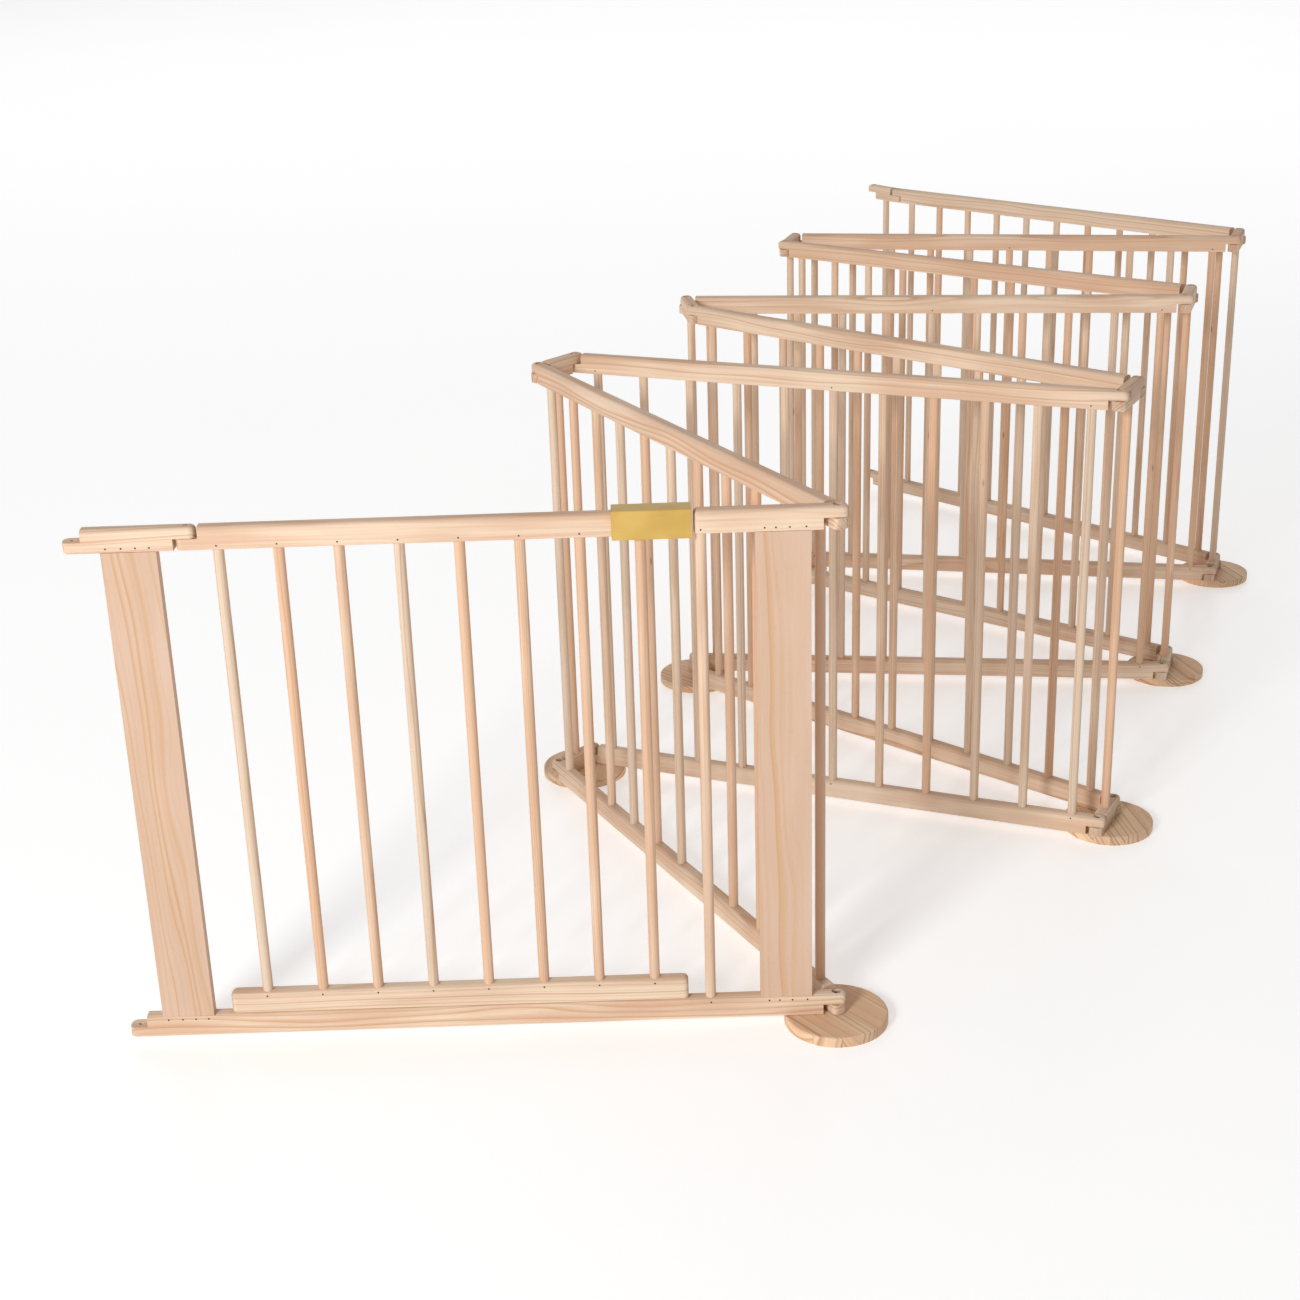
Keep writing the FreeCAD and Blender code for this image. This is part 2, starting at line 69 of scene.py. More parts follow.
# The pieces of the zigzag in order, and the joint or bolt hole at the start of each one.
ZIGZAG = (
    ("gate_panel", "free_hole_top"),
    ("panel_2", "gate_panel_hinge"), ("link_b", "hinge_b_near"),
    ("panel_3", "hinge_b_far"), ("link_c", "hinge_c_near"),
    ("panel_4", "hinge_c_far"), ("link_d", "fold"),
    ("panel_5", "hinge_d_far"), ("link_e", "hinge_e_near"),
    ("panel_6", "hinge_e_far"), ("link_f", "hinge_f_near"),
    ("panel_7", "hinge_f_far"), ("link_g", "hinge_g_near"),
    ("panel_8", "hinge_g_far"), ("link_h", "hinge_h"),
)
ZIGZAG_END = "end_hole_top"

# Darkness of the wood across one ring, from the start of its spring wood to the end of its summer wood.
RING_PROFILE = ((0.0, 0.10), (0.35, 0.0), (0.74, 0.55), (0.92, 1.0), (1.0, 0.10))
# Mean distance between knots in mm, along the grain and across it.
KNOT_SPACING = (190.0, 62.0)
KNOT_COLOUR = (0.26, 0.10, 0.045, 1.0)
# Range of the direction from a flat-sawn board's middle to the tree's heart, in degrees from its width.
FLAT_SAWN = (125.0, 145.0)
# How far the figure moves from one bar or strip to the next, and from a lower rail to its upper one.
LOT_SHIFT = 7.3
STOREY_LOT = 5.7
# How much darker fibres, flecks, end grain and glue lines make the wood, and how much paler worn edges do.
FIBRE_SHADE = 0.10
FLECK_SHADE = 0.10
END_SHADE = 0.16
SEAM_SHADE = 0.16
EDGE_SHINE = 0.035
GRAIN_RELIEF = 0.25 * MM

Number = Union[int, float]
Colour = tuple[float, float, float]


class Signal:
    """An output socket of a shader node, with arithmetic that adds Math nodes."""

    def __init__(self, recipe: "Recipe", socket: bpy.types.NodeSocket) -> None:
        """Keeps the socket and the recipe that it belongs to."""
        self.recipe = recipe
        self.socket = socket

    def output(self, name: str) -> "Signal":
        """Another output of the same node."""
        return Signal(self.recipe, self.socket.node.outputs[name])

    def __add__(self, other: "Term") -> "Signal":
        """This plus another term."""
        return self.recipe.math("ADD", self, other)

    def __radd__(self, other: "Term") -> "Signal":
        """A term plus this."""
        return self.recipe.math("ADD", other, self)

    def __sub__(self, other: "Term") -> "Signal":
        """This less another term."""
        return self.recipe.math("SUBTRACT", self, other)

    def __rsub__(self, other: "Term") -> "Signal":
        """A term less this."""
        return self.recipe.math("SUBTRACT", other, self)

    def __mul__(self, other: "Term") -> "Signal":
        """This times another term."""
        return self.recipe.math("MULTIPLY", self, other)

    def __rmul__(self, other: "Term") -> "Signal":
        """A term times this."""
        return self.recipe.math("MULTIPLY", other, self)

    def __truediv__(self, other: "Term") -> "Signal":
        """This divided by another term."""
        return self.recipe.math("DIVIDE", self, other)

    def __pow__(self, other: "Term") -> "Signal":
        """This raised to a power."""
        return self.recipe.math("POWER", self, other)

    def __abs__(self) -> "Signal":
        """The size of this without its sign."""
        return self.recipe.math("ABSOLUTE", self)


Term = Union[Signal, int, float]
Value = Union[Signal, int, float, tuple]


class Recipe:
    """The shader tree of one material, written as expressions."""

    def __init__(self, name: str) -> None:
        """Starts an empty material.

        Args:
            name: The material's name.
        """
        self.material = bpy.data.materials.new(name)
        self.material.use_nodes = True
        self.tree = self.material.node_tree
        self.tree.nodes.clear()

    def add(self, kind: str, settings: dict, inputs: dict, output: Union[int, str] = 0) -> Signal:
        """Adds a node.

        Args:
            kind: The node's type.
            settings: Properties set before the inputs; "stops" holds a ramp's positions and colours.
            inputs: Values or signals, by the name or number of their socket.
            output: The output to return.

        Returns:
            The chosen output as a signal.
        """
        node = self.tree.nodes.new(kind)
        for name, setting in settings.items():
            if name == "stops":
                self._set_stops(node.color_ramp, setting)
            else:
                setattr(node, name, setting)
        for name, value in inputs.items():
            if isinstance(value, Signal):
                self.tree.links.new(value.socket, node.inputs[name])
            else:
                node.inputs[name].default_value = value
        return Signal(self, node.outputs[output])

    @staticmethod
    def _set_stops(ramp: bpy.types.ColorRamp, stops: tuple) -> None:
        """Gives a ramp its stops.

        Args:
            ramp: The ramp of a Color Ramp node.
            stops: Pairs of a position and a grey level, in order.
        """
        while len(ramp.elements) < len(stops):
            ramp.elements.new(1.0)
        for element, (position, level) in zip(ramp.elements, stops):
            element.position = position
            element.color = (level, level, level, 1.0)

    def math(self, operation: str, *terms: Term) -> Signal:
        """A Math node on one, two or three terms."""
        return self.add("ShaderNodeMath", {"operation": operation}, dict(enumerate(terms)))

    def clamp(self, signal: Signal, low: Number = 0.0, high: Number = 1.0) -> Signal:
        """A signal kept between two limits."""
        return self.add("ShaderNodeClamp", {}, {"Value": signal, "Min": low, "Max": high})

    def step(self, signal: Signal, low: Number, high: Number) -> Signal:
        """A smooth step from 0 below the first limit to 1 above the second."""
        inputs = {"Value": signal, "From Min": low, "From Max": high}
        return self.add("ShaderNodeMapRange", {"interpolation_type": "SMOOTHSTEP"}, inputs)

    def vector(self, x: Term, y: Term, z: Term) -> Signal:
        """Three numbers as one vector."""
        return self.add("ShaderNodeCombineXYZ", {}, {"X": x, "Y": y, "Z": z})

    def noise(self, place: Signal, detail: Number = 2.0, roughness: Number = 0.5) -> Signal:
        """Soft noise about 0.5 at a place given in cells of the noise."""
        inputs = {"Vector": place, "Scale": 1.0, "Detail": detail, "Roughness": roughness}
        return self.add("ShaderNodeTexNoise", {}, inputs)

    def blend(self, share: Term, first: Value, second: Value, how: str = "MIX") -> Signal:
        """Two colours mixed.

        Args:
            share: How much of the second colour.
            first: A colour signal or an RGBA colour.
            second: A colour signal or an RGBA colour.
            how: The blend type.

        Returns:
            The mixed colour.
        """
        settings = {"data_type": "RGBA", "blend_type": how}
        inputs = {0: share, 6: first, 7: second}
        return self.add("ShaderNodeMix", settings, inputs, 2)

    def tint(self, colour: Signal, amount: Signal) -> Signal:
        """A colour made lighter or darker by a factor."""
        return self.add("ShaderNodeVectorMath", {"operation": "SCALE"}, {0: colour, "Scale": amount})

    def bump(self, height: Signal, strength: Number, distance: Number) -> Signal:
        """The normal of a surface raised by a height."""
        inputs = {"Strength": strength, "Distance": distance, "Height": height}
        return self.add("ShaderNodeBump", {}, inputs)

    def finish(self, constants: dict, varying: dict) -> bpy.types.Material:
        """Closes the recipe with its surface shader.

        Args:
            constants: The shader's sockets that are the same all over.
            varying: The shader's sockets that change over the surface.

        Returns:
            The finished material.
        """
        shader = self.add("ShaderNodeBsdfPrincipled", {}, {**constants, **varying})
        surface = self.tree.nodes.new("ShaderNodeOutputMaterial")
        self.tree.links.new(shader.socket, surface.inputs["Surface"])
        return self.material


class Cut(Enum):
    """Which way the grain of a piece runs."""

    LENGTHWISE = "lengthwise"
    UPRIGHT = "upright"


@dataclass(frozen=True)
class Timber:
    """Where a piece of wood lies, and how it was cut.

    Attributes:
        origin: A point on the piece's centre line, in metres.
        heading: Direction of the piece's length from +X, in radians.
        cut: Which way its grain runs.
        seed: Name that sets the piece's own figure.
        strip_pitch: Distance from one bar or glued strip to the next in mm, or 0 for one board.
        strip_offset: How far the middle of the first bar or strip is from the origin, in mm.
        storey: Height from a lower rail to the upper one in mm, where one node holds both, or 0.
    """

    origin: Vector
    heading: float
    cut: Cut
    seed: str
    strip_pitch: float = 0.0
    strip_offset: float = 0.0
    storey: float = 0.0


@dataclass(frozen=True)
class Layer:
    """One layer of soft noise in a piece of wood, drawn out along the grain.

    Attributes:
        along: Cells for each mm along the grain.
        across: Cells for each mm across and through it.
        detail: Number of finer layers in it.
        roughness: Strength of the finer layers.
        through_shift: Whether the piece's own shift goes through the piece instead of along the grain.
    """

    along: float
    across: float
    detail: float
    roughness: float = 0.5
    through_shift: bool = False


STREAKS = Layer(0.004, 0.3, 3.0, 0.6)
FIBRES = Layer(0.05, 2.4, 3.0, 0.65, through_shift=True)
CLOUDS = Layer(0.006, 0.03, 1.0)
FLECKS = Layer(0.12, 1.7, 0.0)
DRIFT = Layer(0.0035, 0.02, 1.0)


@dataclass(frozen=True)
class Grain:
    """A piece's own axes and random numbers.

    Attributes:
        recipe: The material's recipe.
        along: Distance along the grain in mm.
        across: Distance across it on the face in mm.
        through: Distance through the piece in mm.
        end: Mask of the surfaces cut across the grain.
        seam: Mask of the glue lines.
        chance: Three random numbers for each bar or strip.
        shift: A number that moves the figure from one bar or strip to the next.
    """

    recipe: Recipe
    along: Signal
    across: Signal
    through: Signal
    end: Signal
    seam: Signal
    chance: Signal
    shift: Signal

    @property
    def tone(self) -> Signal:
        """How much lighter than the rest this bar or strip is, about 0."""
        return self.chance.output("Z") - 0.5

    def noise(self, layer: Layer) -> Signal:
        """A layer's noise in this piece, about 0.5."""
        along = self.along * layer.along
        across = self.across * layer.across
        through = self.through * layer.across
        if layer.through_shift:
            through = through + self.shift
        else:
            along = along + self.shift
        return self.recipe.noise(self.recipe.vector(along, across, through), layer.detail, layer.roughness)


@dataclass(frozen=True)
class Pine:
    """Sanded, unvarnished pine.

    Attributes:
        name: The record's material slot.
        pale: Colour of the spring wood.
        rosy: Colour of the warmer stretches.
        late: Colour of the summer wood in each ring.
        ring: Distance from one ring to the next in mm.
        ring_depth: How strongly the rings show.
        streak_depth: How strongly the soft streaks show.
        knot_depth: How strongly the small knots show.
        pith_range: Least and greatest distance of the tree's heart from the piece, in mm.
        wander: How far the rings wander sideways along the piece, in mm.
        slant: How far the rings run out to the side for each unit of length.
        flat_sawn: Whether the heart lies behind one edge of the face, so that the rings crowd to one side.
        uneven: How much neighbouring bars or strips differ in tone.
    """

    name: str
    pale: Colour = (0.86, 0.675, 0.505)
    rosy: Colour = (0.69, 0.455, 0.31)
    late: Colour = (0.52, 0.26, 0.12)
    ring: float = 4.4
    ring_depth: float = 0.75
    streak_depth: float = 0.16
    knot_depth: float = 0.0
    pith_range: tuple[float, float] = (28.0, 75.0)
    wander: float = 9.0
    slant: float = 0.0
    flat_sawn: bool = False
    uneven: float = 0.10

    def material(self, timber: Timber) -> bpy.types.Material:
        """Makes the material of one piece.

        Args:
            timber: Where the piece lies and how it was cut.

        Returns:
            The piece's own material.
        """
        recipe = Recipe(f"{self.name}_{timber.seed}")
        draw = Random(timber.seed)
        grain = self._grain(recipe, timber, draw)
        rings = self._rings(grain, timber, draw)
        worn = self._worn_edges(recipe, timber)
        streaks = grain.noise(STREAKS)
        fibres = grain.noise(FIBRES)
        colour = self._colour(grain, rings, streaks)
        level = self._level(grain, streaks, fibres, worn)
        roughness = 0.56 + (fibres - 0.5) * 0.30 - worn * 0.10 + grain.end * 0.14 - rings * 0.06
        height = fibres * 0.55 + rings * 0.35 + streaks * 0.10
        return recipe.finish(
            {"IOR": 1.45, "Specular IOR Level": 0.30},
            {
                "Base Color": recipe.tint(colour, level),
                "Roughness": recipe.clamp(roughness),
                "Normal": recipe.bump(height, 0.35, GRAIN_RELIEF),
            },
        )

    def _colour(self, grain: Grain, rings: Signal, streaks: Signal) -> Signal:
        """Colour of the wood before it is made lighter or darker.

        Args:
            grain: The piece's axes and random numbers.
            rings: How much summer wood shows.
            streaks: The soft streaks.

        Returns:
            The colour.
        """
        recipe = grain.recipe
        clouds = grain.noise(CLOUDS) + grain.tone * (self.uneven * 3.0)
        mellow = recipe.step(clouds * 0.45 + streaks * 0.55, 0.36, 0.64)
        colour = recipe.blend(mellow, (*self.pale, 1.0), (*self.rosy, 1.0))
        colour = recipe.blend(rings * (self.ring_depth + grain.end * 0.25), colour, (*self.late, 1.0))
        return recipe.blend(self._knots(grain) * self.knot_depth, colour, KNOT_COLOUR)

    def _level(self, grain: Grain, streaks: Signal, fibres: Signal, worn: Signal) -> Signal:
        """How much lighter or darker than its colour the wood is.

        Args:
            grain: The piece's axes and random numbers.
            streaks: The soft streaks.
            fibres: The fine fibres.
            worn: Mask of the rounded edges.

        Returns:
            A factor of about 1.
        """
        flecks = grain.recipe.step(grain.noise(FLECKS), 0.70, 0.80)
        level = 1.0 + (streaks - 0.5) * (self.streak_depth * 2.0) + (fibres - 0.5) * FIBRE_SHADE
        level = level + grain.tone * self.uneven - flecks * FLECK_SHADE
        return level - grain.end * END_SHADE - grain.seam * SEAM_SHADE + worn * EDGE_SHINE

    def _grain(self, recipe: Recipe, timber: Timber, draw: Random) -> Grain:
        """Sets up a piece's own axes and its random numbers.

        Args:
            recipe: The material's recipe.
            timber: Where the piece lies and how it was cut.
            draw: The piece's own random numbers.

        Returns:
            The signals that the figure is built from.
        """
        along, across, through, end = self._grain_axes(recipe, timber)
        across, lot, seam = self._strips(recipe, timber, across, draw)
        if timber.storey > 0.0:
            level = recipe.math("ROUND", through / timber.storey)
            through = through - level * timber.storey
            lot = lot + level * STOREY_LOT
        shades = recipe.add("ShaderNodeTexWhiteNoise", {"noise_dimensions": "1D"}, {"W": lot}, "Color")
        chance = recipe.add("ShaderNodeSeparateXYZ", {}, {"Vector": shades})
        return Grain(recipe, along, across, through, end, seam, chance, lot * LOT_SHIFT)

    def _rings(self, grain: Grain, timber: Timber, draw: Random) -> Signal:
        """The growth rings where the piece cuts them.

        Args:
            grain: The piece's axes and random numbers.
            timber: How the piece was cut.
            draw: The piece's own random numbers.

        Returns:
            How much summer wood shows, from 0 to 1.
        """
        recipe = grain.recipe
        reach = draw.uniform(*self.pith_range)
        turn = math.radians(draw.uniform(*FLAT_SAWN)) if self.flat_sawn else draw.uniform(0.0, math.tau)
        spread = 0.0 if timber.strip_pitch == 0.0 else self.pith_range[1]
        side = grain.across + grain.along * self.slant + grain.chance * spread + reach * math.cos(turn)
        depth = grain.through + (grain.chance.output("Y") - 0.5) * spread + reach * math.sin(turn)
        drift = grain.noise(DRIFT) - 0.5
        radius = recipe.math("SQRT", side * side + depth * depth) + drift * self.wander * 2.0
        spacing = recipe.noise(recipe.vector(radius * 0.09, grain.shift, 0.0), 1.0)
        turns = radius / self.ring + spacing * 2.0
        rings = recipe.add(
            "ShaderNodeValToRGB", {"stops": RING_PROFILE}, {"Fac": recipe.math("FRACT", turns)}
        )
        strong = recipe.noise(recipe.vector(radius * 0.16, grain.shift + 4.0, 0.0), 0.0)
        return rings * recipe.step(strong, 0.3, 0.7)

    @staticmethod
    def _knots(grain: Grain) -> Signal:
        """Mask of the small knots."""
        recipe = grain.recipe
        long, wide = KNOT_SPACING
        cells = recipe.vector(grain.along / long + grain.shift, grain.across / wide, grain.through / wide)
        knots = recipe.add("ShaderNodeTexVoronoi", {}, {"Vector": cells, "Scale": 1.0})
        return recipe.step(knots, 0.055, 0.025)

    @staticmethod
    def _turned(recipe: Recipe, timber: Timber, output: str, kind: str) -> Signal:
        """A texture coordinate turned to the piece's own axes.

        Args:
            recipe: The material's recipe.
            timber: Where the piece lies.
            output: Which texture coordinate.
            kind: POINT for places in mm from the piece's origin, VECTOR for directions.

        Returns:
            The coordinate as a vector: along the piece, to its left and up.
        """
        source = recipe.add("ShaderNodeTexCoord", {}, {}, output)
        settings = {"vector_type": kind}
        inputs = {"Vector": source, "Rotation": (0.0, 0.0, -timber.heading)}
        if kind == "POINT":
            scale = 1.0 / MM
            back = Matrix.Rotation(-timber.heading, 3, "Z") @ (timber.origin * -scale)
            inputs.update({"Scale": (scale,) * 3, "Location": tuple(back)})
        return recipe.add("ShaderNodeMapping", settings, inputs)

    def _grain_axes(self, recipe: Recipe, timber: Timber) -> tuple[Signal, Signal, Signal, Signal]:
        """Distances along and across the grain.

        Args:
            recipe: The material's recipe.
            timber: Where the piece lies and how it was cut.

        Returns:
            Distance in mm along the grain, across it on the face and through it, and a mask of the
            surfaces that were cut across the grain.
        """
        place = self._turned(recipe, timber, "Object", "POINT")
        facing = self._turned(recipe, timber, "Normal", "VECTOR")
        split = recipe.add("ShaderNodeSeparateXYZ", {}, {"Vector": place})
        sides = recipe.add("ShaderNodeSeparateXYZ", {}, {"Vector": facing})
        if timber.cut is Cut.UPRIGHT:
            axes = split.output("Z"), split.output("X"), split.output("Y")
            outward = sides.output("Z")
        else:
            axes = split.output("X"), split.output("Y"), split.output("Z")
            outward = sides.output("X")
        return *axes, recipe.step(abs(outward), 0.55, 0.92)

    @staticmethod
    def _strips(
        recipe: Recipe, timber: Timber, across: Signal, draw: Random
    ) -> tuple[Signal, Signal, Signal]:
        """Splits a row of bars or glued strips so that each has a figure of its own.

        Args:
            recipe: The material's recipe.
            timber: The row's pitch and start.
            across: Distance across the row in mm.
            draw: The piece's own random numbers.

        Returns:
            Distance from the middle of the nearest strip, a number that differs between strips, and a
            mask of the glue lines between them.
        """
        lot = draw.uniform(0.0, 40.0)
        if timber.strip_pitch == 0.0:
            return across, across * 0.0 + lot, across * 0.0
        count = recipe.math("ROUND", (across - timber.strip_offset) / timber.strip_pitch)
        across = across - count * timber.strip_pitch - timber.strip_offset
        half = timber.strip_pitch / 2
        return across, count + lot, recipe.step(abs(across), half - 0.7, half - 0.1)

    def _worn_edges(self, recipe: Recipe, timber: Timber) -> Signal:
        """Mask of the rounded long edges, which hands and sanding have made paler and smoother.

        Args:
            recipe: The material's recipe.
            timber: Where the piece lies.

        Returns:
            1 in the middle of a rounded edge and 0 on the flats.
        """
        facing = self._turned(recipe, timber, "Normal", "VECTOR")
        sides = recipe.add("ShaderNodeSeparateXYZ", {}, {"Vector": facing})
        flat = recipe.math("MAXIMUM", abs(sides.output("X")), abs(sides.output("Y")))
        flat = recipe.math("MAXIMUM", flat, abs(sides.output("Z")))
        return recipe.step(flat, 0.97, 0.74)


@dataclass(frozen=True)
class Steel:
    """Dull zinc-plated steel with a fine grain and tarnished patches.

    Attributes:
        name: The record's material slot.
        bright: Colour of the plating.
        dull: Colour of the tarnished patches.
        metal: How metallic the surface looks.
        rough: Least roughness of the surface.
    """

    name: str = "steel"
    bright: Colour = (0.46, 0.43, 0.40)
    dull: Colour = (0.17, 0.15, 0.13)
    metal: float = 0.9
    rough: float = 0.30

    def material(self) -> bpy.types.Material:
        """Makes the material."""
        recipe = Recipe(self.name)
        place = recipe.add("ShaderNodeTexCoord", {}, {}, "Object")
        fine = recipe.add("ShaderNodeTexNoise", {}, {"Vector": place, "Scale": 900.0, "Detail": 3.0})
        broad = recipe.add("ShaderNodeTexNoise", {}, {"Vector": place, "Scale": 160.0, "Detail": 2.0})
        colour = recipe.blend(recipe.step(broad, 0.35, 0.65), (*self.bright, 1.0), (*self.dull, 1.0))
        return recipe.finish(
            {"Metallic": self.metal},
            {
                "Base Color": colour,
                "Roughness": recipe.clamp(self.rough + fine * 0.25 + broad * 0.10),
                "Normal": recipe.bump(fine, 0.25, 0.1 * MM),
            },
        )


@dataclass(frozen=True)
class Nylon:
    """Satin moulded plastic of the latch sleeve, with a fine mould texture and faint flow marks.

    Attributes:
        name: The record's material slot.
        body: Main colour.
        deep: Colour of the slightly darker flow marks.
    """

    name: str = "latch_plastic"
    body: Colour = (0.67, 0.43, 0.105)
    deep: Colour = (0.58, 0.355, 0.075)

    def material(self) -> bpy.types.Material:
        """Makes the material."""
        recipe = Recipe(self.name)
        place = recipe.add("ShaderNodeTexCoord", {}, {}, "Object")
        grain = recipe.add("ShaderNodeTexNoise", {}, {"Vector": place, "Scale": 2200.0, "Detail": 1.0})
        flow = recipe.add("ShaderNodeTexNoise", {}, {"Vector": place, "Scale": 26.0, "Detail": 2.0})
        scuffs = recipe.add("ShaderNodeMapping", {}, {"Vector": place, "Scale": (40.0, 600.0, 600.0)})
        scuffs = recipe.step(recipe.noise(scuffs, 2.0), 0.60, 0.72)
        colour = recipe.blend(recipe.step(flow, 0.3, 0.7), (*self.body, 1.0), (*self.deep, 1.0))
        return recipe.finish(
            {"IOR": 1.5, "Specular IOR Level": 0.45},
            {
                "Base Color": recipe.tint(colour, 1.0 + scuffs * 0.05),
                "Roughness": recipe.clamp(0.36 + (grain - 0.5) * 0.12 + scuffs * 0.12),
                "Normal": recipe.bump(grain, 0.2, 0.06 * MM),
            },
        )


RAIL_PINE = Pine("rail_pine")
LINK_PINE = Pine("link_pine", rosy=(0.70, 0.46, 0.315), ring=3.6)
BAR_PINE = Pine(
    "bar_pine", pale=(0.84, 0.65, 0.485), rosy=(0.66, 0.43, 0.285), ring=3.2, ring_depth=0.65,
    knot_depth=0.8, pith_range=(10.0, 60.0), wander=6.0, uneven=0.30,
)
BOARD_PINE = Pine(
    "board_pine", pale=(0.69, 0.495, 0.375), rosy=(0.64, 0.435, 0.31), late=(0.58, 0.31, 0.12),
    ring=8.5, ring_depth=0.85, streak_depth=0.12, pith_range=(60.0, 90.0), wander=13.0,
    slant=0.035, flat_sawn=True,
)
FOOT_PINE = Pine(
    "foot_pine", pale=(0.93, 0.665, 0.44), rosy=(0.77, 0.50, 0.315), late=(0.44, 0.215, 0.095),
    ring=6.5, ring_depth=0.90, streak_depth=0.20, pith_range=(18.0, 70.0), wander=8.0, uneven=0.20,
)


def joint_place(name: str) -> Vector:
    """Plan position of a joint or of a bolt hole.

    Args:
        name: A joint's or a mount's name.

    Returns:
        Its place, in metres, brought down to the floor.
    """
    places = {joint["name"]: joint.get("pos_m") for joint in frame["joints"]}
    places.update({mount["name"]: mount["pos_m"] for mount in frame["record"]["mounts"]})
    x, y, _ = places[name]
    return Vector((x, y, 0.0))


def dress(node: str, material: bpy.types.Material) -> None:
    """Gives a CAD node its material.

    Args:
        node: The node's name.
        material: Its finish.
    """
    slots = frame["nodes"][node].data.materials
    slots.clear()
    slots.append(material)
    log.info("dressed %s in %s", node, material.name)


def deselect() -> None:
    """Clears the selection."""
    bpy.ops.object.select_all(action="DESELECT")


def select_faces(wanted: Callable[[bpy.types.MeshPolygon], bool]) -> None:
    """Selects the faces of the active object that a test picks, and leaves it in edit mode.

    Args:
        wanted: Tells whether a face is wanted.
    """
    mesh = bpy.context.object.data
    bpy.ops.object.mode_set(mode="EDIT")
    bpy.ops.mesh.select_mode(type="FACE")
    bpy.ops.mesh.select_all(action="DESELECT")
    bpy.ops.object.mode_set(mode="OBJECT")
    for face in mesh.polygons:
        face.select = wanted(face)
    bpy.ops.object.mode_set(mode="EDIT")


@dataclass
class Span:
    """A piece of the zigzag between two bolts.

    Attributes:
        name: The body's name.
        start: Plan position of its first bolt.
        end: Plan position of its last bolt.
    """

    name: str
    start: Vector
    end: Vector

    @property
    def heading(self) -> float:
        """Direction from the first bolt to the last, in radians from +X."""
        step = self.end - self.start
        return math.atan2(step.y, step.x)

    @property
    def length(self) -> float:
        """Distance between the bolts in mm."""
        return (self.end - self.start).length / MM

    def timber(self, node: str, cut: Cut, pitch: float = 0.0, offset: float = 0.0) -> Timber:
        """How a node of this piece was cut.

        Args:
            node: The node's name.
            cut: Which way its grain runs.
            pitch: Distance from one bar to the next in mm, or 0.
            offset: Distance of the first bar from the first bolt in mm.

        Returns:
            The node's timber, with its origin at the first bolt and at the node's middle height.
        """
        low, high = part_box(node)
        origin = Vector((self.start.x, self.start.y, (low.z + high.z) / 2))
        return Timber(origin, self.heading, cut, node, pitch, offset)

    def place(self, along: float, height: float, out: float) -> Vector:
        """A point beside the piece.

        Args:
            along: Distance from the first bolt in mm.
            height: Height above the floor in metres.
            out: Distance from the centre line in mm, to the left of the heading.

        Returns:
            The point in metres.
        """
        turned = Matrix.Rotation(self.heading, 3, "Z") @ Vector((along * MM, out * MM, 0.0))
        return self.start + turned + Vector((0.0, 0.0, height))


@dataclass
class NailHeads:
    """The round heads of the nails that hold bars and boards in the rails.

    Attributes:
        radius: Radius of a head in metres.
        proud: How far a head stands out of the wood in metres.
        sunk: How far it goes into the wood in metres.
        sides: Number of sides of the head.
        dimple: How far the middle is hammered in, in metres.
        spots: Where the nails are, each with the direction in which its head looks.
    """

    radius: float = 1.1 * MM
    proud: float = 0.15 * MM
    sunk: float = 0.6 * MM
    sides: int = 12
    dimple: float = 0.08 * MM
    spots: list[tuple[Vector, float]] = field(default_factory=list)

    def drive(self, place: Vector, heading: float) -> None:
        """Adds a nail.

        Args:
            place: Where the nail meets the wood's surface.
            heading: Direction in which its head looks, in radians from +X.
        """
        self.spots.append((place, heading))

    def _model(self) -> bpy.types.Object:
        """Models one head at the origin, looking along +X.

        Returns:
            The head.
        """
        deselect()
        depth = self.proud + self.sunk
        bpy.ops.mesh.primitive_cylinder_add(
            vertices=self.sides, radius=self.radius, depth=depth,
            location=((self.proud - self.sunk) / 2, 0.0, 0.0), rotation=(0.0, math.pi / 2, 0.0),
        )
        head = bpy.context.object
        bpy.ops.object.transform_apply(location=True, rotation=True, scale=True)
        select_faces(lambda face: face.normal.x > 0.9)
        bpy.ops.mesh.bevel(offset=self.proud * 0.8, segments=1, affect="EDGES")
        bpy.ops.object.mode_set(mode="OBJECT")
        outermost = max(vertex.co.x for vertex in head.data.vertices)
        select_faces(lambda face: face.normal.x > 0.9 and face.center.x > outermost - 0.02 * MM)
        bpy.ops.mesh.inset(thickness=self.radius * 0.35)
        bpy.ops.transform.translate(value=(-self.dimple, 0.0, 0.0))
        bpy.ops.object.mode_set(mode="OBJECT")
        bpy.ops.object.shade_smooth_by_angle(angle=math.radians(40.0))
        return head

    def build(self, name: str, body: str, material: bpy.types.Material) -> bpy.types.Object:
        """Copies the head to every spot as one piece.

        Args:
            name: The piece's name.
            body: The body that it rides on.
            material: Its finish.

        Returns:
            The piece.
        """
        pattern = self._model()
        copies = []
        for place, heading in self.spots:
            copy = pattern.copy()
            copy.data = pattern.data.copy()
            bpy.context.scene.collection.objects.link(copy)
            copy.data.transform(Matrix.Translation(place) @ Matrix.Rotation(heading, 4, "Z"))
            copies.append(copy)
        bpy.data.objects.remove(pattern)
        deselect()
        for copy in copies:
            copy.select_set(True)
        piece = copies[0]
        bpy.context.view_layer.objects.active = piece
        bpy.ops.object.join()
        piece.name = name
        piece.data.name = name
        piece.data.materials.clear()
        piece.data.materials.append(material)
        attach(piece, body)
        log.info("%s: %d nail heads", name, len(self.spots))
        return piece


